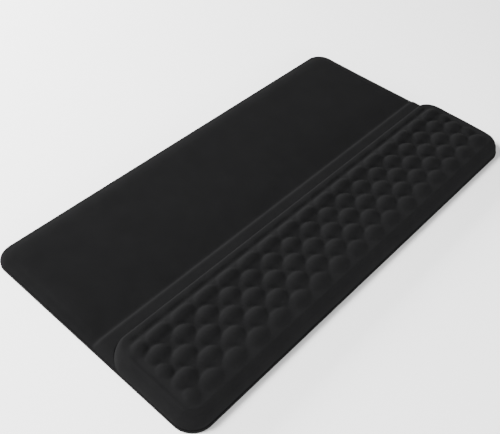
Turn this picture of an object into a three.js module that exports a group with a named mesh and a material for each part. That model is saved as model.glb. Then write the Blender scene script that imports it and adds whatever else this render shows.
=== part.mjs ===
// Keyboard mat with a raised wrist cushion along its front edge.
// Millimetres, +Z up. X runs along the front edge, Y from the front edge towards the rear.
// The origin is the centre of the underside, so the mat stands on the plane Z = 0.
import * as THREE from 'three';
import { mergeVertices } from 'three/addons/utils/BufferGeometryUtils.js';

// Whole mat
const WIDTH = 440;
const DEPTH = 240;
const CORNER_RADIUS = 18;
const BASE_THICKNESS = 1.6;
const FABRIC = 0.9;
const GAP = 0.3;

// Wrist cushion
const CUSHION_DEPTH = 95;
const CUSHION_HEIGHT = 19.5;
const CUSHION_CROWN_AT = 60;
const CUSHION_FRONT_DROP = 2.5;
const CUSHION_REAR_RADIUS = 19;
const CUSHION_EDGE_REACH = 10.5;
const CUSHION_REAR_REACH = 5;
const GROOVE_AT = 83.5;
const GROOVE_WIDTH = 2.4;
const GROOVE_DEPTH = 1.2;
const GROOVE_END_INSET = 22;

// Stop bar and keyboard deck
const BAR_REAR = 107;
const BAR_HEIGHT = 8.5;
const BAR_SLOPE = 3;
const BAR_CORE_REAR = 108;
const DECK_FRONT_HEIGHT = 5;
const DECK_REAR_HEIGHT = 10.5;
const DECK_FRONT_REACH = 11;
const DECK_REAR_REACH = 18;

// Mesh steps
const CORNER_STEPS = 5;
const MIDDLE_STEPS = 8;
const OUTLINE_STEPS = 8;

const FLOOR = BASE_THICKNESS + GAP;
const FRONT = -DEPTH / 2;
const CORE_INSET = FABRIC + GAP;

const black = (roughness, grey) => new THREE.MeshStandardMaterial({
  color: new THREE.Color(grey, grey, grey),
  roughness,
  metalness: 0,
});
const foamMaterial = (red, green, blue) => new THREE.MeshStandardMaterial({
  color: new THREE.Color(red, green, blue),
  roughness: 0.9,
  metalness: 0,
});

// Height share of a rounded edge, 0 at the outline and 1 from the edge's reach inwards.
const edgeShare = (distance, reach) => {
  const t = Math.min(Math.max(distance / reach, 0), 1);
  return Math.sqrt(1 - (1 - t) * (1 - t));
};

// How far a rounded corner falls back from the straight side, at the place x across the mat.
const cornerDrop = (x, centre, radius) => {
  const past = Math.min(Math.max(Math.abs(x) - centre, 0), radius);
  return radius - Math.sqrt(radius * radius - past * past);
};

// Distance from a point to a rounded outline, with the outline's normal there.
function outlineDistance(x, y, box) {
  const middle = (box.front + box.rear) / 2;
  const radius = y < middle ? box.frontRadius : box.rearRadius;
  const fromSide = box.half - Math.abs(x);
  const fromEnd = y < middle ? y - box.front : box.rear - y;
  if (fromSide < radius && fromEnd < radius) {
    const across = radius - fromSide;
    const along = radius - fromEnd;
    const length = Math.hypot(across, along) || 1;
    return { distance: radius - length, nx: across / length, ny: along / length };
  }
  if (fromSide < fromEnd) return { distance: fromSide, nx: 1, ny: 0 };
  return { distance: fromEnd, nx: 0, ny: 1 };
}

// Places across the mat: close together round the corners, even steps between them.
function stations(inset) {
  const centre = WIDTH / 2 - CORNER_RADIUS;
  const radius = CORNER_RADIUS - inset;
  const right = [];
  for (let i = 1; i <= CORNER_STEPS; i += 1) {
    right.push(centre + radius * Math.sin((i / CORNER_STEPS) * Math.PI / 2));
  }
  const middle = [];
  for (let i = 0; i <= MIDDLE_STEPS; i += 1) {
    middle.push(centre * (2 * i / MIDDLE_STEPS - 1));
  }
  return [...right.map((x) => -x).reverse(), ...middle, ...right];
}

// Rows of one column: fixed distances in from both ends, the places of creases, and even steps.
function rowPlaces(front, rear, plan) {
  const places = [
    ...plan.fromFront.map((distance) => front + distance),
    ...plan.creases.map((place) => FRONT + place),
  ];
  const end = rear - plan.fromRear[plan.fromRear.length - 1];
  const start = places[places.length - 1];
  for (let i = 1; i <= plan.between; i += 1) {
    places.push(start + (end - start) * i / (plan.between + 1));
  }
  return [...places, ...[...plan.fromRear].reverse().map((distance) => rear - distance)];
}

// A grid of points over a region, all on the floor along its border.
function surfaceGrid(region, inset) {
  return stations(inset).map((x) => {
    const front = region.front(x, inset);
    const rear = region.rear(x, inset);
    const places = rowPlaces(front, rear, region.plan);
    const column = places.map((y) => new THREE.Vector3(x, y, region.top(x, y, inset)));
    column[0].z = FLOOR;
    column[column.length - 1].z = FLOOR;
    return column;
  });
}

// Triangles of a grid, facing up or down, added to a list.
function addGrid(list, grid, up) {
  for (let i = 0; i + 1 < grid.length; i += 1) {
    for (let j = 0; j + 1 < grid[i].length; j += 1) {
      const [a, b] = [grid[i][j], grid[i + 1][j]];
      const [c, d] = [grid[i + 1][j + 1], grid[i][j + 1]];
      if (up) list.push([a, b, c], [a, c, d]);
      else list.push([a, c, b], [a, d, c]);
    }
  }
}

// Points of a grid's border, counter-clockwise seen from above.
function border(grid) {
  const last = grid.length - 1;
  const top = grid[0].length - 1;
  return [
    ...grid.slice(0, last).map((column) => column[0]),
    ...grid[last].slice(0, top),
    ...grid.slice(1).reverse().map((column) => column[top]),
    ...grid[0].slice(1).reverse(),
  ];
}

// Closed geometry from triangles, without the ones that shrink to a line.
function closedGeometry(triangles) {
  const corners = triangles.flat().flatMap((p) => [p.x, p.y, p.z]);
  const loose = new THREE.BufferGeometry();
  loose.setAttribute('position', new THREE.Float32BufferAttribute(corners, 3));
  const merged = mergeVertices(loose, 1e-4);
  const order = merged.getIndex().array;
  const kept = [];
  for (let i = 0; i < order.length; i += 3) {
    const [a, b, c] = [order[i], order[i + 1], order[i + 2]];
    if (a !== b && b !== c && c !== a) kept.push(a, b, c);
  }
  merged.setIndex(kept);
  merged.computeVertexNormals();
  return merged;
}

// A fabric cap: outer and inner skin joined by a flat hem, open underneath.
function coverGeometry(region) {
  const outer = surfaceGrid(region, 0);
  const inner = surfaceGrid(region, FABRIC);
  const triangles = [];
  addGrid(triangles, outer, true);
  addGrid(triangles, inner, false);
  const outside = border(outer);
  const inside = border(inner);
  outside.forEach((a, i) => {
    const next = (i + 1) % outside.length;
    triangles.push([a, inside[i], inside[next]], [a, inside[next], outside[next]]);
  });
  return closedGeometry(triangles);
}

// A foam core: the surface under its cover, closed by a flat face.
function coreGeometry(region) {
  const top = surfaceGrid(region, CORE_INSET);
  const bottom = top.map((column) => column.map((p) => new THREE.Vector3(p.x, p.y, FLOOR)));
  const triangles = [];
  addGrid(triangles, top, true);
  addGrid(triangles, bottom, false);
  return closedGeometry(triangles);
}

// The cushion's surface: a low crown, rounded edges and a groove along its rear.
function cushionTop(x, y, inset) {
  const place = outlineDistance(x, y, {
    half: WIDTH / 2 - inset,
    front: FRONT + inset,
    rear: FRONT + CUSHION_DEPTH - inset,
    frontRadius: CORNER_RADIUS - inset,
    rearRadius: CUSHION_REAR_RADIUS - inset,
  });
  const fromFront = y - FRONT;
  const endReach = fromFront > CUSHION_DEPTH / 2 ? CUSHION_REAR_REACH : CUSHION_EDGE_REACH;
  const reach = Math.hypot(CUSHION_EDGE_REACH * place.nx, endReach * place.ny) - inset;
  const fall = CUSHION_FRONT_DROP * ((fromFront - CUSHION_CROWN_AT) / CUSHION_CROWN_AT) ** 2;
  const grooveEnd = WIDTH / 2 - Math.abs(x) - GROOVE_END_INSET / 2;
  const grooveShare = Math.min(Math.max(grooveEnd / GROOVE_END_INSET, 0), 1);
  const groove = GROOVE_DEPTH * grooveShare
    * Math.exp(-(((fromFront - GROOVE_AT) / GROOVE_WIDTH) ** 2));
  const height = CUSHION_HEIGHT - fall - groove - FLOOR - inset;
  return FLOOR + height * edgeShare(place.distance, reach);
}

// The stop bar's flat top, its slope down to the deck, and the deck rising to the rear.
function deckTop(x, y, inset) {
  const fromFront = y - FRONT;
  const deckStart = BAR_REAR + BAR_SLOPE;
  const rise = Math.min(Math.max((fromFront - deckStart) / (DEPTH - deckStart), 0), 1);
  const slope = Math.min(Math.max((fromFront - BAR_REAR) / BAR_SLOPE, 0), 1);
  const deck = DECK_FRONT_HEIGHT + (DECK_REAR_HEIGHT - DECK_FRONT_HEIGHT) * rise;
  const height = BAR_HEIGHT + (deck - BAR_HEIGHT) * slope - FLOOR - inset;
  const reach = DECK_FRONT_REACH + (DECK_REAR_REACH - DECK_FRONT_REACH) * rise - inset;
  const fromSide = WIDTH / 2 - inset - Math.abs(x);
  const place = outlineDistance(x, y, {
    half: WIDTH / 2 - inset,
    front: FRONT + inset,
    rear: FRONT + DEPTH - inset,
    frontRadius: CORNER_RADIUS - inset,
    rearRadius: CORNER_RADIUS - inset,
  });
  const distance = fromFront < DEPTH / 2 ? fromSide : place.distance;
  return FLOOR + height * edgeShare(distance, reach);
}

const sideCentre = WIDTH / 2 - CORNER_RADIUS;
const frontLine = (x, inset) => FRONT + inset + cornerDrop(x, sideCentre, CORNER_RADIUS - inset);
const rearLine = (x, inset) => -FRONT - inset - cornerDrop(x, sideCentre, CORNER_RADIUS - inset);
const cushionCentre = WIDTH / 2 - CUSHION_REAR_RADIUS;
const cushionRear = (x, inset) => FRONT + CUSHION_DEPTH - inset
  - cornerDrop(x, cushionCentre, CUSHION_REAR_RADIUS - inset);
const deckFront = (x, inset) => FRONT + CUSHION_DEPTH + GAP + inset
  - cornerDrop(x, cushionCentre, CUSHION_REAR_RADIUS + GAP + inset);
const straight = (place) => () => FRONT + place;

const cushionRegion = {
  front: frontLine,
  rear: cushionRear,
  top: cushionTop,
  plan: { fromFront: [0, 0.5, 1.8, 3.8, 6.8, 10.5], creases: [], between: 4,
    fromRear: [0, 0.3, 1.2, 2.8, 5, 8, 10, 11.5, 13, 15.5] },
};
const deckCoverRegion = {
  front: deckFront,
  rear: rearLine,
  top: deckTop,
  plan: { fromFront: [0, 0], creases: [BAR_REAR, BAR_REAR + BAR_SLOPE], between: 5,
    fromRear: [0, 0.9, 3.2, 7, 12, 18] },
};
const barCoreRegion = {
  front: deckFront,
  rear: straight(BAR_CORE_REAR),
  top: deckTop,
  plan: { fromFront: [0, 0], creases: [BAR_REAR], between: 0, fromRear: [0, 0] },
};
const deckCoreRegion = {
  front: straight(BAR_CORE_REAR + GAP),
  rear: rearLine,
  top: deckTop,
  plan: { fromFront: [0, 0], creases: [BAR_REAR + BAR_SLOPE], between: 5,
    fromRear: [0, 0.9, 3.2, 7, 12, 18] },
};

// The non-slip sheet under everything, as wide as the mat itself.
function baseSheetGeometry() {
  const half = WIDTH / 2;
  const r = CORNER_RADIUS;
  const shape = new THREE.Shape();
  shape.moveTo(-half + r, FRONT);
  shape.absarc(half - r, FRONT + r, r, -Math.PI / 2, 0);
  shape.absarc(half - r, -FRONT - r, r, 0, Math.PI / 2);
  shape.absarc(-half + r, -FRONT - r, r, Math.PI / 2, Math.PI);
  shape.absarc(-half + r, FRONT + r, r, Math.PI, Math.PI * 1.5);
  return new THREE.ExtrudeGeometry(shape, {
    depth: BASE_THICKNESS,
    bevelEnabled: false,
    curveSegments: OUTLINE_STEPS,
  });
}

function part(name, geometry, material) {
  const mesh = new THREE.Mesh(geometry, material);
  mesh.name = name;
  return mesh;
}

const group = new THREE.Group();
group.add(part('base_sheet', baseSheetGeometry(), black(0.8, 0.02)));
group.add(part('deck_foam', coreGeometry(deckCoreRegion), foamMaterial(0.12, 0.12, 0.13)));
group.add(part('stop_bar_core', coreGeometry(barCoreRegion), foamMaterial(0.18, 0.18, 0.19)));
group.add(part('wrist_foam', coreGeometry(cushionRegion), foamMaterial(0.85, 0.8, 0.6)));
group.add(part('deck_cover', coverGeometry(deckCoverRegion), black(0.92, 0.016)));
group.add(part('wrist_cover', coverGeometry(cushionRegion), black(0.92, 0.016)));

export default group;
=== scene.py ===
"""Keyboard mat with a raised, padded wrist cushion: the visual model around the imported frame.

Lengths are millimetres until a mesh is made, and metres from there on. X runs along the mat,
Y from the cushion towards the rear, and a "place" is a distance from the mat's front edge.
"""
import math

import bmesh
import bpy
import numpy as np
from mathutils import Matrix, Vector


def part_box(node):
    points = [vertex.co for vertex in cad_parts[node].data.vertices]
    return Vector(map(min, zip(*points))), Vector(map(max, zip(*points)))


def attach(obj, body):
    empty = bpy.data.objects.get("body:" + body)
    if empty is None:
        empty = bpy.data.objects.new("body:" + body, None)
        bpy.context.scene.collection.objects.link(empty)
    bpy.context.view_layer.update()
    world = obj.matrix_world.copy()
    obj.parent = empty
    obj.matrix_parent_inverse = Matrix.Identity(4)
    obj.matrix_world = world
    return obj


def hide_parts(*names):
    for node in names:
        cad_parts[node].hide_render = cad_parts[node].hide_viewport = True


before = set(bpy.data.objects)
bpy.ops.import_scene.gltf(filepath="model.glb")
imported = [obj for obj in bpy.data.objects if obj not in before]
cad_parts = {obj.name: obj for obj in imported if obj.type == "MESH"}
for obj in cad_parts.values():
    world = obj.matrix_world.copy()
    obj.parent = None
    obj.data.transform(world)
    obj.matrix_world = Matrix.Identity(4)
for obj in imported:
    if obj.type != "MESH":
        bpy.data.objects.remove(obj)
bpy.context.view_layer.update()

MM = 0.001


def box_mm(node):
    """Lowest and highest corner of a CAD node in millimetres."""
    low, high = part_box(node)
    return np.array(low) / MM, np.array(high) / MM


BASE_LOW, BASE_HIGH = box_mm("base_sheet")
CUSHION_LOW, CUSHION_HIGH = box_mm("wrist_cover")

# Whole mat, from the frame
HALF_WIDTH = BASE_HIGH[0]
FRONT, REAR = BASE_LOW[1], BASE_HIGH[1]
DEPTH = REAR - FRONT
FLOOR = CUSHION_LOW[2]
CUSHION_DEPTH = CUSHION_HIGH[1] - FRONT
CORNER_RADIUS = 18.0
FABRIC = 0.9
CORE_INSET = 1.2

# Wrist cushion
CUSHION_HEIGHT = 19.1
CROWN_AT = 60.0
CROWN_FALL = 2.5
CUSHION_REAR_RADIUS = 19.0
CUSHION_REACH = 10.5
CUSHION_REAR_REACH = 6.0
FIELD_END = 80.0
GROOVE_START = 79.3
GROOVE_AT = 82.5
GROOVE_END = 86.8
GROOVE_DEPTH = 0.9
GROOVE_SIDE_GAP = 15.0
RING_INSET = 5.5
RING_HALF = 0.8
RING_DEPTH = 1.2
RING_FADE_START = 60.0
RING_END = 72.0

# Raised oval pads on the cushion, with a half pad at one end of each row
PAD_ROWS = 5
WHOLE_PADS = 16
PADS_PER_ROW = WHOLE_PADS + 0.5
FIELD_HALF = 207.0
FIRST_ROW = 19.4
ROW_PITCH = 14.2
PAD_PITCH = 2 * FIELD_HALF / PADS_PER_ROW
PAD_HALF_WIDTH = 0.43 * PAD_PITCH
PAD_HALF_DEPTH = 0.465 * ROW_PITCH
LAST_ROW_TRIM = 0.9
HALF_PAD_WIDTH = 0.55 * PAD_HALF_WIDTH
HALF_PAD_FLATNESS = 0.35
PAD_ROUNDNESS = 2.1
PAD_FULLNESS = 2.3
PAD_LIFT = 3.25
SEAM_SINK = 1.5
SEAM_FADE_START = FIELD_END - 13
SEAM_FADE_END = FIELD_END - 4
FIELD_INSET = 9.0

# Tension of the cover: how far it reaches, and how firmly pressed seams and lines hold it
PULL = 0.9
SEAM_HOLD = 6.0
LINE_HOLD = 12.0
MEMBRANE_STEP = 0.5
MEMBRANE_ROUNDS = 60

# Cloth simulation of the pads, on an enlarged copy
CLOTH_STRIDE = 3
CLOTH_SCALE = 10.0
CLOTH_TENSION = 5.0
CLOTH_PRESSURE = 60.0
CLOTH_FRAMES = 20
CLOTH_CAP = 1.2

# Stop bar and deck
BAR_REAR = 106.5
BAR_HEIGHT = 8.6
BAR_SLOPE = 3.2
BAR_CORE_REAR = 108.0
DECK_FRONT_HEIGHT = 5.0
DECK_REAR_HEIGHT = 10.5
DECK_FRONT_REACH = 11.0
DECK_REAR_REACH = 21.0
DECK_TUCK = 0.7
DECK_LINE_AT = 6.5
DECK_LINE_WIDTH = 2.2
DECK_LINE_DEPTH = 0.45

# Base sheet
BASE_TOP = FLOOR - 0.05
BASE_INSET = -0.8
BASE_EDGE = 0.8
BEAD_LIFT = 1.0
BEAD_FOOT = 0.3
RIM_WIDTH = 5.0
RIM_FADE = 2.0
STUD_PITCH = 9.6
STUD_RADIUS = 2.9
STUD_HEIGHT = 0.4

# Spacing of the mesh points
COARSER = 1.0
CUSHION_STEP = 1.05 * COARSER
DECK_STEP = 1.6 * COARSER
CORE_STEP = 1.6 * COARSER
BASE_STEP = 1.75 * COARSER
EDGE_STEPS = 16


# ---------------------------------------------------------------- outlines and heights

def smoothstep(value, start, end):
    t = np.clip((value - start) / (end - start), 0, 1)
    return t * t * (3 - 2 * t)


def corner_drop(x, centre, radius):
    """How far a rounded corner falls back from the straight side at x."""
    past = np.clip(np.abs(x) - centre, 0, radius)
    return radius - np.sqrt(np.maximum(radius * radius - past * past, 0))


def outline_distance(x, place, half, front, rear, front_radius, rear_radius):
    """Distance inwards from a rounded outline, and the outline's normal there."""
    middle = (front + rear) / 2
    radius = np.where(place < middle, front_radius, rear_radius)
    from_side = half - np.abs(x)
    from_end = np.where(place < middle, place - front, rear - place)
    across, along = radius - from_side, radius - from_end
    in_corner = (across > 0) & (along > 0)
    length = np.maximum(np.hypot(across, along), 1e-6)
    side_first = from_side < from_end
    distance = np.where(in_corner, radius - length, np.minimum(from_side, from_end))
    nx = np.where(in_corner, across / length, side_first)
    ny = np.where(in_corner, along / length, ~side_first)
    return distance, nx, ny


def edge_share(distance, reach):
    """Height share of a rounded edge: 0 on the outline, 1 from its reach inwards."""
    t = np.clip(distance / reach, 0, 1)
    return np.sqrt(1 - (1 - t) ** 2)


def pad_radius(x, place):
    """Nearness to the closest oval pad: 0 at its centre and 1 on its outline.

    The half pads at the ends of the rows are flatter, so theirs doesn't come down to 0.
    """
    nearest = np.full_like(x, np.inf)
    for row in range(PAD_ROWS):
        side = -1 if row % 2 == 0 else 1
        first = side * (FIELD_HALF - PAD_PITCH)
        index = np.clip(np.round(-side * (x - first) / PAD_PITCH), 0, WHOLE_PADS - 1)
        dx = np.abs(x - (first - side * index * PAD_PITCH)) / PAD_HALF_WIDTH
        trim = LAST_ROW_TRIM * (row == PAD_ROWS - 1)
        dy = np.abs(place - (FIRST_ROW + row * ROW_PITCH - trim)) / (PAD_HALF_DEPTH - trim)
        nearest = np.minimum(nearest, oval(dx, dy))
        half_pad = side * (FIELD_HALF - PAD_PITCH / 4)
        small = oval(np.abs(x - half_pad) / HALF_PAD_WIDTH, dy)
        flatter = np.sqrt(HALF_PAD_FLATNESS + (1 - HALF_PAD_FLATNESS) * small ** 2)
        nearest = np.minimum(nearest, flatter)
    return nearest


def oval(dx, dy):
    """Distance from a rounded oval's centre, as a share of the way to its outline."""
    return (dx ** PAD_ROUNDNESS + dy ** PAD_ROUNDNESS) ** (1 / PAD_ROUNDNESS)


def softness(place):
    """The front row of pads is pressed less than the rows behind it."""
    return 0.5 + 0.5 * smoothstep(place, 13, 32)


def band(value, centre, half, soft=0.8):
    """1 within a band and 0 outside it, with a soft border."""
    return 1 - smoothstep(np.abs(value - centre), half - soft / 3, half + 2 * soft / 3)


def relaxed_cover():
    """Lift of the cushion's cover over the foam, relaxed as a stretched membrane.

    Pressed seams and lines hold the membrane firmly, foam lifts it gently in between.
    The second result says where a cloth would be held: 1 outside the pads, 0 on them.
    """
    xs = np.arange(-HALF_WIDTH, HALF_WIDTH + MEMBRANE_STEP / 2, MEMBRANE_STEP)
    places = np.arange(0, CUSHION_DEPTH + MEMBRANE_STEP / 2, MEMBRANE_STEP)
    x, place = np.meshgrid(xs, places, indexing="ij")
    distance, _, _ = outline_distance(
        x, place, HALF_WIDTH, 0, CUSHION_DEPTH, CORNER_RADIUS, CUSHION_REAR_RADIUS)
    field = smoothstep(distance, FIELD_INSET - 0.5, FIELD_INSET + 0.5)
    field = field * (1 - smoothstep(place, FIELD_END - 0.5, FIELD_END + 0.5))
    radius = pad_radius(x, place)
    dome = np.clip(1 - radius ** PAD_FULLNESS, 0, 1)
    seam = field * smoothstep(radius, 0.97, 1.03)
    softer = softness(place)
    inner = smoothstep(HALF_WIDTH - np.abs(x), GROOVE_SIDE_GAP, GROOVE_SIDE_GAP + 8)
    groove = smoothstep(place, GROOVE_START, GROOVE_AT) * inner
    groove = groove * (1 - smoothstep(place, GROOVE_AT, GROOVE_END))
    ring = band(distance, RING_INSET, RING_HALF)
    ring = ring * (1 - smoothstep(place, RING_FADE_START, RING_END))
    sink = SEAM_SINK * (1 - smoothstep(place, SEAM_FADE_START, SEAM_FADE_END))
    target = (PAD_LIFT * dome - sink) * field * softer
    target = target * (1 - groove) - GROOVE_DEPTH * groove
    target = target * (1 - ring) - RING_DEPTH * ring
    pressed = seam * softer ** 3
    hold = 1 + (SEAM_HOLD - 1) * pressed + LINE_HOLD * (groove + ring)
    pull = (PULL / MEMBRANE_STEP) ** 2
    lift = target.copy()
    for _ in range(MEMBRANE_ROUNDS):
        wide = np.pad(lift, 1, mode="edge")
        around = wide[:-2, 1:-1] + wide[2:, 1:-1] + wide[1:-1, :-2] + wide[1:-1, 2:]
        lift = (pull * around + hold * target) / (hold + 4 * pull)
    return lift, np.clip(seam + groove + ring + 1 - field, 0, 1)


def puffed_by_cloth(lift, held):
    """The cover's lift after a cloth simulation that blows up the pads between held seams.

    It runs on a coarser grid, enlarged, and only its rise is added to the given lift.
    """
    start = lift[::CLOTH_STRIDE, ::CLOTH_STRIDE]
    pins = held[::CLOTH_STRIDE, ::CLOTH_STRIDE]
    n, m = start.shape
    spacing = MEMBRANE_STEP * CLOTH_STRIDE * MM * CLOTH_SCALE
    i, j = np.meshgrid(np.arange(n), np.arange(m), indexing="ij")
    points = np.stack([i * spacing, j * spacing, start * MM * CLOTH_SCALE], axis=-1)
    mesh = bpy.data.meshes.new("cloth_cover")
    mesh.from_pydata(points.reshape(-1, 3).tolist(), [], grid_faces(n, m).tolist())
    cloth = bpy.data.objects.new("cloth_cover", mesh)
    bpy.context.scene.collection.objects.link(cloth)
    group = cloth.vertex_groups.new(name="held")
    for share in np.linspace(0.1, 1, 10):
        chosen = np.flatnonzero(np.abs(pins.ravel() - share) <= 0.05)
        group.add(chosen.tolist(), float(share), "REPLACE")
    modifier = cloth.modifiers.new("cloth", "CLOTH")
    settings = modifier.settings
    settings.quality = 5
    settings.mass = 0.3
    settings.tension_stiffness = CLOTH_TENSION
    settings.compression_stiffness = CLOTH_TENSION
    settings.shear_stiffness = CLOTH_TENSION / 3
    settings.bending_stiffness = 0.5
    settings.vertex_group_mass = group.name
    settings.use_pressure = True
    settings.uniform_pressure_force = CLOTH_PRESSURE
    settings.effector_weights.gravity = 0
    modifier.collision_settings.use_collision = False
    modifier.point_cache.frame_start = 1
    modifier.point_cache.frame_end = CLOTH_FRAMES
    for frame_number in range(1, CLOTH_FRAMES + 1):
        bpy.context.scene.frame_set(frame_number)
    settled = cloth.evaluated_get(bpy.context.evaluated_depsgraph_get()).data
    heights = np.empty(n * m * 3)
    settled.vertices.foreach_get("co", heights)
    rise = heights[2::3].reshape(n, m) / MM / CLOTH_SCALE - start
    bpy.context.scene.frame_set(1)
    bpy.data.objects.remove(cloth)
    bpy.data.meshes.remove(mesh)
    rise = np.clip(rise, -CLOTH_CAP, CLOTH_CAP)
    u = np.arange(lift.shape[0]) / CLOTH_STRIDE
    v = np.arange(lift.shape[1]) / CLOTH_STRIDE
    return lift + between(rise, u[:, None], v[None, :])


def between(grid, column, row):
    """Values of a grid at places between its points."""
    column = np.clip(column, 0, grid.shape[0] - 1.001)
    row = np.clip(row, 0, grid.shape[1] - 1.001)
    i, j = column.astype(int), row.astype(int)
    u, v = column - i, row - j
    near = grid[i, j] * (1 - u) + grid[i + 1, j] * u
    far = grid[i, j + 1] * (1 - u) + grid[i + 1, j + 1] * u
    return near * (1 - v) + far * v


def cover_lift(x, place):
    """The relaxed lift at any place on the cushion."""
    return between(COVER_LIFT, (x + HALF_WIDTH) / MEMBRANE_STEP, place / MEMBRANE_STEP)


def cushion_height(x, place, inset):
    """Top of the wrist cushion above the floor plane."""
    distance, nx, ny = outline_distance(
        x, place, HALF_WIDTH - inset, inset, CUSHION_DEPTH - inset,
        CORNER_RADIUS - inset, CUSHION_REAR_RADIUS - inset)
    end_reach = np.where(place > CUSHION_DEPTH / 2, CUSHION_REAR_REACH, CUSHION_REACH)
    reach = np.hypot(CUSHION_REACH * nx, end_reach * ny) - inset
    height = CUSHION_HEIGHT - CROWN_FALL * ((place - CROWN_AT) / CROWN_AT) ** 2
    height = height + cover_lift(x, place)
    return FLOOR + (height - FLOOR - inset) * edge_share(distance, reach)


def deck_height(x, place, inset):
    """Top of the stop bar and of the deck behind it."""
    start = BAR_REAR + BAR_SLOPE
    rise = np.clip((place - start) / (DEPTH - start), 0, 1)
    slope = smoothstep(place, BAR_REAR, start)
    deck = DECK_FRONT_HEIGHT + (DECK_REAR_HEIGHT - DECK_FRONT_HEIGHT) * rise
    height = BAR_HEIGHT + (deck - BAR_HEIGHT) * slope
    reach = DECK_FRONT_REACH + (DECK_REAR_REACH - DECK_FRONT_REACH) * rise - inset
    distance, _, _ = outline_distance(
        x, place, HALF_WIDTH - inset, inset, DEPTH - inset,
        CORNER_RADIUS - inset, CORNER_RADIUS - inset)
    side = HALF_WIDTH - inset - np.abs(x)
    end = DEPTH - inset - place
    soft = 1 / np.maximum(1 / np.maximum(side, 1e-3) ** 4 + 1 / np.maximum(end, 1e-3) ** 4,
                          1e-12) ** 0.25
    blend = smoothstep(distance, 6, 16)
    distance = np.where(place < DEPTH / 2, side, distance * (1 - blend) + soft * blend)
    line = np.exp(-((distance - DECK_LINE_AT) / DECK_LINE_WIDTH) ** 2) * DECK_LINE_DEPTH
    height = height - line * smoothstep(place, start + 6, start + 14)
    return FLOOR + (height - FLOOR - inset) * edge_share(distance, reach)


# ---------------------------------------------------------------- grids and meshes

def arc_places(reach):
    """Distances in from an edge that are evenly spaced along its rounded arc."""
    angles = np.linspace(0, math.pi / 2, EDGE_STEPS)
    return reach * (1 - np.cos(angles))


def even_places(start, end, step):
    return np.linspace(start, end, max(2, int(round((end - start) / step)) + 1))


def columns(inset, reach, step):
    """Places across the mat, close together towards both side edges.

    Their number doesn't depend on the inset, so that outer and inner skins match.
    """
    half = HALF_WIDTH - inset
    edge = half - arc_places(reach)
    spaces = int(round(2 * (HALF_WIDTH - reach) / step))
    middle = np.linspace(-edge[-1], edge[-1], spaces + 1)[1:-1]
    return np.concatenate([-edge, middle, edge[::-1]])


def region_grid(region, inset, step):
    """Points of a region, one row of the result for each place across the mat."""
    x = columns(inset, region["side_reach"], step)
    front, rear = region["front"](x, inset), region["rear"](x, inset)
    near, far = region["near"], region["far"]
    inner = even_places(0, 1, step / region["depth"])[1:-1]
    start, end = front + near[-1], rear - far[-1]
    places = np.concatenate([
        front[:, None] + near[None, :],
        start[:, None] + (end - start)[:, None] * inner[None, :],
        rear[:, None] - far[::-1][None, :],
    ], axis=1)
    xs = np.repeat(x[:, None], places.shape[1], axis=1)
    heights = region["height"](xs, places, inset)
    if region["walls"][0]:
        heights[:, 0] = FLOOR
    if region["walls"][1]:
        heights[:, -1] = FLOOR
    return np.stack([xs, places + FRONT, heights], axis=-1)


def grid_faces(columns_count, rows_count, offset=0, up=True):
    i, j = np.meshgrid(np.arange(columns_count - 1), np.arange(rows_count - 1), indexing="ij")
    a = (i * rows_count + j).ravel() + offset
    quad = [a, a + rows_count, a + rows_count + 1, a + 1]
    return np.stack(quad if up else quad[::-1], axis=1)


def border_loop(columns_count, rows_count):
    """Indices round a grid, counter-clockwise from above."""
    index = np.arange(columns_count * rows_count).reshape(columns_count, rows_count)
    return np.concatenate([
        index[:-1, 0], index[-1, :-1], index[:0:-1, -1], index[0, :0:-1]])


def closed_object(name, upper, lower):
    """A closed piece between two grids of the same size, joined round their borders."""
    assert upper.shape == lower.shape
    n, m = upper.shape[:2]
    points = np.concatenate([upper.reshape(-1, 3), lower.reshape(-1, 3)]) * MM
    loop = border_loop(n, m)
    following = np.roll(loop, -1)
    under = loop + n * m
    sides = np.stack([loop, under, np.roll(under, -1), following], axis=1)
    faces = np.concatenate([grid_faces(n, m), grid_faces(n, m, n * m, up=False), sides])
    mesh = bpy.data.meshes.new(name)
    mesh.from_pydata(points.tolist(), [], faces.tolist())
    piece = bpy.data.objects.new(name, mesh)
    bpy.context.scene.collection.objects.link(piece)
    bpy.context.view_layer.objects.active = piece
    mesh.validate()
    weld(mesh)
    mesh.polygons.foreach_set("use_smooth", [True] * len(mesh.polygons))
    return piece


def weld(mesh):
    """Merges doubled points and removes faces that shrank to a line."""
    work = bmesh.new()
    work.from_mesh(mesh)
    bmesh.ops.remove_doubles(work, verts=work.verts, dist=0.005 * MM)
    bmesh.ops.dissolve_degenerate(work, edges=work.edges, dist=0.002 * MM)
    bmesh.ops.recalc_face_normals(work, faces=work.faces)
    work.to_mesh(mesh)
    work.free()


# ---------------------------------------------------------------- regions

def front_line(x, inset):
    return inset + corner_drop(x, HALF_WIDTH - CORNER_RADIUS, CORNER_RADIUS - inset)


def rear_line(x, inset):
    return DEPTH - inset - corner_drop(x, HALF_WIDTH - CORNER_RADIUS, CORNER_RADIUS - inset)


def cushion_rear(x, inset):
    centre = HALF_WIDTH - CUSHION_REAR_RADIUS
    return CUSHION_DEPTH - inset - corner_drop(x, centre, CUSHION_REAR_RADIUS - inset)


def deck_front(x, inset):
    centre = HALF_WIDTH - CUSHION_REAR_RADIUS
    start = inset - DECK_TUCK
    return CUSHION_DEPTH + start - corner_drop(x, centre, CUSHION_REAR_RADIUS + start)


def straight(place):
    return lambda x, inset: np.full_like(x, place)


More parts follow.
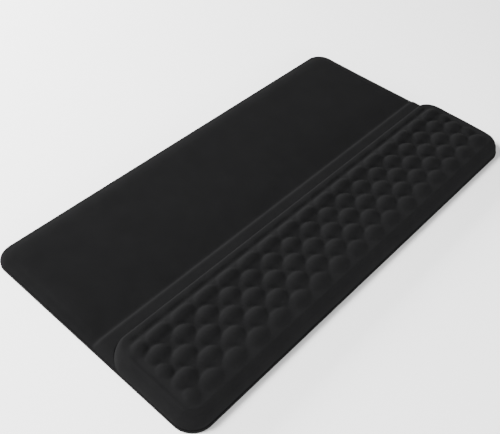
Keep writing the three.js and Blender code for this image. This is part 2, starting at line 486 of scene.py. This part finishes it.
CUSHION = {
    "side_reach": CUSHION_REACH, "front": front_line, "rear": cushion_rear,
    "near": arc_places(CUSHION_REACH), "far": arc_places(CUSHION_REAR_REACH),
    "depth": CUSHION_DEPTH - CUSHION_REACH - CUSHION_REAR_REACH,
    "height": cushion_height, "walls": (True, True),
}
DECK = {
    "side_reach": DECK_FRONT_REACH, "front": deck_front, "rear": rear_line,
    "near": np.array([0.0, 0.0]), "far": arc_places(DECK_REAR_REACH),
    "depth": DEPTH - CUSHION_DEPTH - DECK_REAR_REACH,
    "height": deck_height, "walls": (True, True),
}

BAR_CORE = {
    "side_reach": DECK_FRONT_REACH, "front": deck_front, "rear": straight(BAR_CORE_REAR),
    "near": np.array([0.0, 0.0]), "far": np.array([0.0, 0.0]),
    "depth": BAR_CORE_REAR - CUSHION_DEPTH,
    "height": deck_height, "walls": (True, True),
}
DECK_CORE = {
    "side_reach": DECK_FRONT_REACH, "front": straight(BAR_CORE_REAR + 0.3), "rear": rear_line,
    "near": np.array([0.0, 0.0]), "far": arc_places(DECK_REAR_REACH),
    "depth": DEPTH - BAR_CORE_REAR - DECK_REAR_REACH,
    "height": deck_height, "walls": (True, True),
}


def cover(name, region, step):
    """A fabric cap with real thickness, open underneath."""
    outer = region_grid(region, 0.0, step)
    inner = region_grid(region, FABRIC, step)
    return closed_object(name, outer, inner)


COVER_LIFT, COVER_HELD = relaxed_cover()
COVER_LIFT = puffed_by_cloth(COVER_LIFT, COVER_HELD)


def mark_painted_light(piece):
    """Stores painted light and shade for the knit's colour: -1 (painted highlight) in seams, 0 on
    the cushion, 1 (darker) on the deck.
    """
    mesh = piece.data
    points = np.empty(len(mesh.vertices) * 3)
    mesh.vertices.foreach_get("co", points)
    x, y = points[0::3] / MM, points[1::3] / MM
    place = y - FRONT
    distance, _, _ = outline_distance(
        x, place, HALF_WIDTH, 0, CUSHION_DEPTH, CORNER_RADIUS, CUSHION_REAR_RADIUS)
    on_top = smoothstep(distance, FIELD_INSET - 1, FIELD_INSET + 2) * softness(place)
    on_top = on_top * (1 - smoothstep(place, FIELD_END, FIELD_END + 1))
    # Painted highlight: the knit is made lighter towards the seams between the pads than on the
    # pads.
    painted_light_share = -smoothstep(pad_radius(x, place), 0.7, 1.05) * on_top
    # The deck from the stop bar back is made darker.
    painted_light_share = painted_light_share + smoothstep(place, BAR_REAR, BAR_REAR + 6)
    layer = mesh.attributes.new("painted_light", "FLOAT", "POINT")
    layer.data.foreach_set("value", painted_light_share)


def core(name, region):
    """A foam core that fills the space under its cover."""
    top = region_grid(region, CORE_INSET, CORE_STEP)
    bottom = top.copy()
    bottom[..., 2] = FLOOR
    return closed_object(name, top, bottom)


def base_pad(name):
    """Thin non-slip sheet with rounded edges and rows of small studs underneath."""
    region = {
        "side_reach": BASE_EDGE, "front": front_line, "rear": rear_line,
        "near": arc_places(BASE_EDGE), "far": arc_places(BASE_EDGE),
        "depth": DEPTH - 2 * BASE_EDGE, "height": base_top, "walls": (False, False),
    }
    top = region_grid(region, BASE_INSET, BASE_STEP)
    bottom = top.copy()
    bottom[..., 2] = base_underside(top[..., 0], top[..., 1] - FRONT)
    return closed_object(name, top, bottom)


def base_edge_distance(x, place):
    """Distance inwards from the base sheet's outline."""
    return outline_distance(
        x, place, HALF_WIDTH - BASE_INSET, BASE_INSET, DEPTH - BASE_INSET,
        CORNER_RADIUS - BASE_INSET, CORNER_RADIUS - BASE_INSET)[0]


def base_top(x, place, inset):
    """Flat, with a thin raised bead round the outside of the covers."""
    across = np.clip(2 * base_edge_distance(x, place) / BASE_EDGE - 1, -1, 1)
    bead = np.sqrt(1 - across ** 2)
    foot = BEAD_FOOT * (across < 0)
    return BASE_TOP - foot + (BEAD_LIFT + foot) * bead


def base_underside(x, place):
    """Round studs on a square pattern that stand on the desk, and a plain rim."""
    edge = base_edge_distance(x, place)
    dx = (x + STUD_PITCH / 2) % STUD_PITCH - STUD_PITCH / 2
    dy = place % STUD_PITCH - STUD_PITCH / 2
    stud = 1 - smoothstep(np.hypot(dx, dy), STUD_RADIUS - 0.8, STUD_RADIUS + 0.4)
    rim = 1 - smoothstep(edge, RIM_WIDTH, RIM_WIDTH + RIM_FADE)
    lifted = STUD_HEIGHT * (1 - np.maximum(stud, rim))
    return lifted + 0.5 * BASE_EDGE * (1 - edge_share(edge, BASE_EDGE))


# ---------------------------------------------------------------- materials

def node_material(name):
    material = bpy.data.materials.new(name)
    material.use_nodes = True
    nodes, links = material.node_tree.nodes, material.node_tree.links
    return material, nodes, links, nodes["Principled BSDF"]


def add(nodes, kind, **values):
    node = nodes.new(kind)
    for key, value in values.items():
        setattr(node, key, value)
    return node


def fabric_material():
    """Matt black elastic knit: fine ribs and stitches, fuzz and hardly any sheen, with painted
    light and shade in its colour.
    """
    material, nodes, links, shader = node_material("cover_fabric")
    place = add(nodes, "ShaderNodeTexCoord")
    wales = add(nodes, "ShaderNodeTexWave", wave_type="BANDS", bands_direction="X")
    wales.inputs["Scale"].default_value = 420
    wales.inputs["Distortion"].default_value = 1.2
    wales.inputs["Detail"].default_value = 1
    wales.inputs["Detail Scale"].default_value = 3
    courses = add(nodes, "ShaderNodeTexWave", wave_type="BANDS", bands_direction="Y")
    courses.inputs["Scale"].default_value = 520
    courses.inputs["Distortion"].default_value = 1.2
    courses.inputs["Detail"].default_value = 1
    courses.inputs["Detail Scale"].default_value = 3
    knit = add(nodes, "ShaderNodeMath", operation="MULTIPLY")
    fuzz = add(nodes, "ShaderNodeTexNoise")
    fuzz.inputs["Scale"].default_value = 900
    fuzz.inputs["Detail"].default_value = 3
    height = add(nodes, "ShaderNodeMath", operation="ADD")
    bump = add(nodes, "ShaderNodeBump")
    bump.inputs["Strength"].default_value = 0.35
    bump.inputs["Distance"].default_value = 0.0002
    for texture in (wales, courses, fuzz):
        links.new(place.outputs["Object"], texture.inputs["Vector"])
    links.new(wales.outputs["Fac"], knit.inputs[0])
    links.new(courses.outputs["Fac"], knit.inputs[1])
    links.new(knit.outputs[0], height.inputs[0])
    links.new(fuzz.outputs["Fac"], height.inputs[1])
    links.new(height.outputs[0], bump.inputs["Height"])
    links.new(bump.outputs["Normal"], shader.inputs["Normal"])

    patches = add(nodes, "ShaderNodeTexNoise")
    patches.inputs["Scale"].default_value = 60
    patches.inputs["Detail"].default_value = 4
    links.new(place.outputs["Object"], patches.inputs["Vector"])
    tone = add(nodes, "ShaderNodeValToRGB")
    tone.color_ramp.elements[0].position = 0.3
    tone.color_ramp.elements[0].color = (0.0060, 0.0060, 0.0062, 1)
    tone.color_ramp.elements[1].position = 0.75
    tone.color_ramp.elements[1].color = (0.0069, 0.0069, 0.0071, 1)
    links.new(patches.outputs["Fac"], tone.inputs["Fac"])
    # Painted light and shade: the knit's colour is lighter in the pad seams and darker on the deck.
    painted_light = add(nodes, "ShaderNodeAttribute", attribute_name="painted_light")
    shade = add(nodes, "ShaderNodeMapRange")
    shade.inputs["From Min"].default_value = -1.0
    shade.inputs["To Min"].default_value = 1.15
    shade.inputs["To Max"].default_value = 0.88
    darker = add(nodes, "ShaderNodeVectorMath", operation="SCALE")
    links.new(painted_light.outputs["Fac"], shade.inputs["Value"])
    links.new(tone.outputs["Color"], darker.inputs[0])
    links.new(shade.outputs["Result"], darker.inputs["Scale"])
    links.new(darker.outputs["Vector"], shader.inputs["Base Color"])
    rough = add(nodes, "ShaderNodeMapRange")
    rough.inputs["To Min"].default_value = 0.72
    rough.inputs["To Max"].default_value = 0.88
    links.new(knit.outputs[0], rough.inputs["Value"])
    links.new(rough.outputs["Result"], shader.inputs["Roughness"])
    shader.inputs["Specular IOR Level"].default_value = 0.0
    shader.inputs["Sheen Weight"].default_value = 0.01
    shader.inputs["Sheen Roughness"].default_value = 0.45
    shader.inputs["Sheen Tint"].default_value = (1, 1, 1, 1)
    return material


def rubber_material():
    """Matt black non-slip rubber with a fine grain."""
    material, nodes, links, shader = node_material("non_slip_base")
    place = add(nodes, "ShaderNodeTexCoord")
    grain = add(nodes, "ShaderNodeTexNoise")
    grain.inputs["Scale"].default_value = 1500
    grain.inputs["Detail"].default_value = 4
    links.new(place.outputs["Object"], grain.inputs["Vector"])
    bump = add(nodes, "ShaderNodeBump")
    bump.inputs["Strength"].default_value = 0.4
    bump.inputs["Distance"].default_value = 0.0001
    links.new(grain.outputs["Fac"], bump.inputs["Height"])
    links.new(bump.outputs["Normal"], shader.inputs["Normal"])
    wear = add(nodes, "ShaderNodeTexNoise")
    wear.inputs["Scale"].default_value = 40
    wear.inputs["Detail"].default_value = 5
    links.new(place.outputs["Object"], wear.inputs["Vector"])
    tone = add(nodes, "ShaderNodeValToRGB")
    tone.color_ramp.elements[0].color = (0.0025, 0.0025, 0.0025, 1)
    tone.color_ramp.elements[1].color = (0.0045, 0.0045, 0.0045, 1)
    links.new(wear.outputs["Fac"], tone.inputs["Fac"])
    links.new(tone.outputs["Color"], shader.inputs["Base Color"])
    rough = add(nodes, "ShaderNodeMapRange")
    rough.inputs["To Min"].default_value = 0.6
    rough.inputs["To Max"].default_value = 0.8
    links.new(wear.outputs["Fac"], rough.inputs["Value"])
    links.new(rough.outputs["Result"], shader.inputs["Roughness"])
    shader.inputs["Specular IOR Level"].default_value = 0.05
    return material


def foam_material(name, dark, light, cell_scale):
    """Open-cell foam: a fine pitted surface with a little colour variation."""
    material, nodes, links, shader = node_material(name)
    place = add(nodes, "ShaderNodeTexCoord")
    cells = add(nodes, "ShaderNodeTexVoronoi")
    cells.inputs["Scale"].default_value = cell_scale
    links.new(place.outputs["Object"], cells.inputs["Vector"])
    bump = add(nodes, "ShaderNodeBump")
    bump.inputs["Strength"].default_value = 0.6
    bump.inputs["Distance"].default_value = 0.0004
    links.new(cells.outputs["Distance"], bump.inputs["Height"])
    links.new(bump.outputs["Normal"], shader.inputs["Normal"])
    tone = add(nodes, "ShaderNodeValToRGB")
    tone.color_ramp.elements[0].color = (*dark, 1)
    tone.color_ramp.elements[1].color = (*light, 1)
    links.new(cells.outputs["Distance"], tone.inputs["Fac"])
    links.new(tone.outputs["Color"], shader.inputs["Base Color"])
    shader.inputs["Roughness"].default_value = 0.92
    return material


def floor_material():
    """Plain pale floor, very slightly uneven in tone."""
    material, nodes, links, shader = node_material("pale_floor")
    place = add(nodes, "ShaderNodeTexCoord")
    noise = add(nodes, "ShaderNodeTexNoise")
    noise.inputs["Scale"].default_value = 6
    links.new(place.outputs["Object"], noise.inputs["Vector"])
    tone = add(nodes, "ShaderNodeValToRGB")
    tone.color_ramp.elements[0].color = (0.93, 0.93, 0.93, 1)
    tone.color_ramp.elements[1].color = (0.95, 0.95, 0.95, 1)
    links.new(noise.outputs["Fac"], tone.inputs["Fac"])
    links.new(tone.outputs["Color"], shader.inputs["Base Color"])
    shader.inputs["Roughness"].default_value = 0.9
    return material


# ---------------------------------------------------------------- pieces

def place_piece(piece, material, slot, *nodes):
    piece.data.materials.clear()
    piece.data.materials.append(material)
    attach(piece, "root")
    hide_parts(*nodes)
    return piece


fabric = fabric_material()
rubber = rubber_material()
firm_foam = foam_material("firm_foam", (0.05, 0.05, 0.055), (0.13, 0.13, 0.14), 900)
memory_foam = foam_material("memory_foam", (0.6, 0.54, 0.36), (0.86, 0.81, 0.62), 1100)

wrist_skin = cover("wrist_skin", CUSHION, CUSHION_STEP)
place_piece(wrist_skin, fabric, "cover_fabric", "wrist_cover")
mark_painted_light(wrist_skin)
deck_skin = cover("deck_skin", DECK, DECK_STEP)
place_piece(deck_skin, fabric, "cover_fabric", "deck_cover")
mark_painted_light(deck_skin)

for name, region, foam, slot, node in (
        ("wrist_core", CUSHION, memory_foam, "memory_foam", "wrist_foam"),
        ("bar_core", BAR_CORE, firm_foam, "firm_foam", "stop_bar_core"),
        ("deck_core", DECK_CORE, firm_foam, "firm_foam", "deck_foam")):
    piece = place_piece(core(name, region), foam, slot, node)
place_piece(base_pad("base_pad"), rubber, "non_slip_base", "base_sheet")


# ---------------------------------------------------------------- stage, light and camera

def add_floor():
    """A large plain floor, in metres."""
    mesh = bpy.data.meshes.new("floor")
    size = 6.0
    corners = [(-size, -size, 0), (size, -size, 0), (size, size, 0), (-size, size, 0)]
    mesh.from_pydata(corners, [], [(0, 1, 2, 3)])
    floor = bpy.data.objects.new("floor", mesh)
    bpy.context.scene.collection.objects.link(floor)
    floor.data.materials.append(floor_material())


def add_light(name, position, size, power):
    """A square soft light, in metres and watts, aimed at the middle of the mat."""
    data = bpy.data.lights.new(name, "AREA")
    data.shape = "SQUARE"
    data.size = size
    data.energy = power
    light = bpy.data.objects.new(name, data)
    light.location = position
    light.rotation_euler = (-Vector(position)).to_track_quat("-Z", "Y").to_euler()
    bpy.context.scene.collection.objects.link(light)


def add_world(strength):
    world = bpy.data.worlds.new("studio")
    world.use_nodes = True
    background = world.node_tree.nodes["Background"]
    background.inputs["Color"].default_value = (1, 1, 1, 1)
    background.inputs["Strength"].default_value = strength
    bpy.context.scene.world = world


def add_camera():
    """A camera above the front left corner, looking down across the mat."""
    right = Vector((0.67341, -0.73819, 0.04005))
    up = Vector((0.51020, 0.50326, 0.69745))
    back = right.cross(up)
    data = bpy.data.cameras.new("camera")
    data.sensor_width = 36.0
    data.lens = 51.7
    camera = bpy.data.objects.new("camera", data)
    rotation = Matrix((right, up, back)).transposed().to_4x4()
    camera.matrix_world = Matrix.Translation((-0.3797, -0.2944, 0.4671)) @ rotation
    bpy.context.scene.collection.objects.link(camera)
    bpy.context.scene.camera = camera


add_floor()
add_world(0.42)
add_light("key_left", (-0.75, 0.7, 1.2), 0.45, 70)
add_light("rear_rim", (-0.3, 1.8, 0.5), 0.6, 150)
add_light("front_fill", (-0.35, -1.7, 0.22), 0.7, 75)
add_camera()
